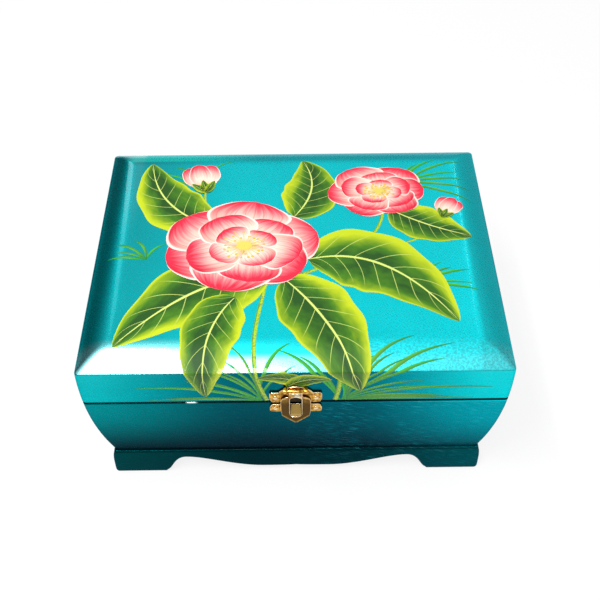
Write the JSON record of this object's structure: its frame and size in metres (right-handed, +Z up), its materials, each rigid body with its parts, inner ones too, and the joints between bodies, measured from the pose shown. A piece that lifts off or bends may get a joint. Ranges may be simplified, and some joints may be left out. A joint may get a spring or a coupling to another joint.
{
  "type": "jewellery box",
  "caption": "Lacquered wooden jewellery box with a bellied case on a scalloped plinth, hinged lid with a mirror, brass clasp and a lift-out tray.",
  "frame": {"origin": "on the surface the box stands on, under the middle of its outline", "axes": "+X to the right along the front, +Y to the back where the hinges are, +Z up"},
  "size_m": [0.241, 0.2022, 0.1125],
  "materials": {
    "lacquer": "metallic turquoise gloss lacquer over silver",
    "dark_lacquer": "black satin lacquer",
    "velvet": "wine-red velvet",
    "ribbon": "satin ribbon",
    "brass": "polished, gilt",
    "mirror": "silvered glass"
  },
  "bodies": {
    "case": {"plinth_front": "lacquer", "plinth_back": "lacquer", "plinth_left": "lacquer", "plinth_right": "lacquer", "body_front": "lacquer", "body_back": "lacquer", "body_left": "lacquer", "body_right": "lacquer", "bottom_panel": "dark_lacquer", "floor_pad": "velvet", "lining_front": "velvet", "lining_back": "velvet", "lining_left": "velvet", "lining_right": "velvet", "hinge_leaf_body_left": "brass", "hinge_leaf_body_right": "brass", "hinge_pin_left": "brass", "hinge_pin_right": "brass", "hinge_screw_body_left_outer": "brass", "hinge_screw_body_left_inner": "brass", "hinge_screw_body_right_outer": "brass", "hinge_screw_body_right_inner": "brass", "clasp_lower_plate": "brass", "clasp_nail_body_left": "brass", "clasp_nail_body_right": "brass"},
    "lid": {"lid_top": "lacquer", "lid_front": "lacquer", "lid_back": "lacquer", "lid_left": "lacquer", "lid_right": "lacquer", "lid_lining": "velvet", "mirror": "mirror", "mirror_frame": "velvet", "hinge_leaf_lid_left": "brass", "hinge_leaf_lid_right": "brass", "hinge_screw_lid_left_outer": "brass", "hinge_screw_lid_left_inner": "brass", "hinge_screw_lid_right_outer": "brass", "hinge_screw_lid_right_inner": "brass", "clasp_upper_plate": "brass", "clasp_pin": "brass", "clasp_nail_lid_left": "brass", "clasp_nail_lid_right": "brass"},
    "flap": {"clasp_flap": "brass"},
    "tray": {"tray_front": "dark_lacquer", "tray_back": "dark_lacquer", "tray_left": "dark_lacquer", "tray_right": "dark_lacquer", "tray_floor": "velvet", "tray_divider_rings": "velvet", "tray_divider_middle": "velvet", "tray_cross_middle": "velvet", "tray_cross_front": "velvet", "tray_cross_back": "velvet", "ring_rolls": "velvet", "pull_tab_left": "ribbon", "pull_tab_right": "ribbon"}
  },
  "joints": [
    {"name": "lid_hinge", "type": "hinge", "parent": "case", "child": "lid", "pos_m": [0, 0.09667, 0.0792], "axis": [-1, 0, 0], "range_deg": [0, 100]},
    {"name": "clasp_flap_hinge", "type": "hinge", "parent": "lid", "child": "flap", "pos_m": [0, -0.09837, 0.09228], "axis": [-1, 0, 0], "range_deg": [0, 150]},
    {"name": "tray_lift", "type": "slide", "parent": "case", "child": "tray", "axis": [0, 0, 1], "range_m": [0, 0.02]}
  ]
}
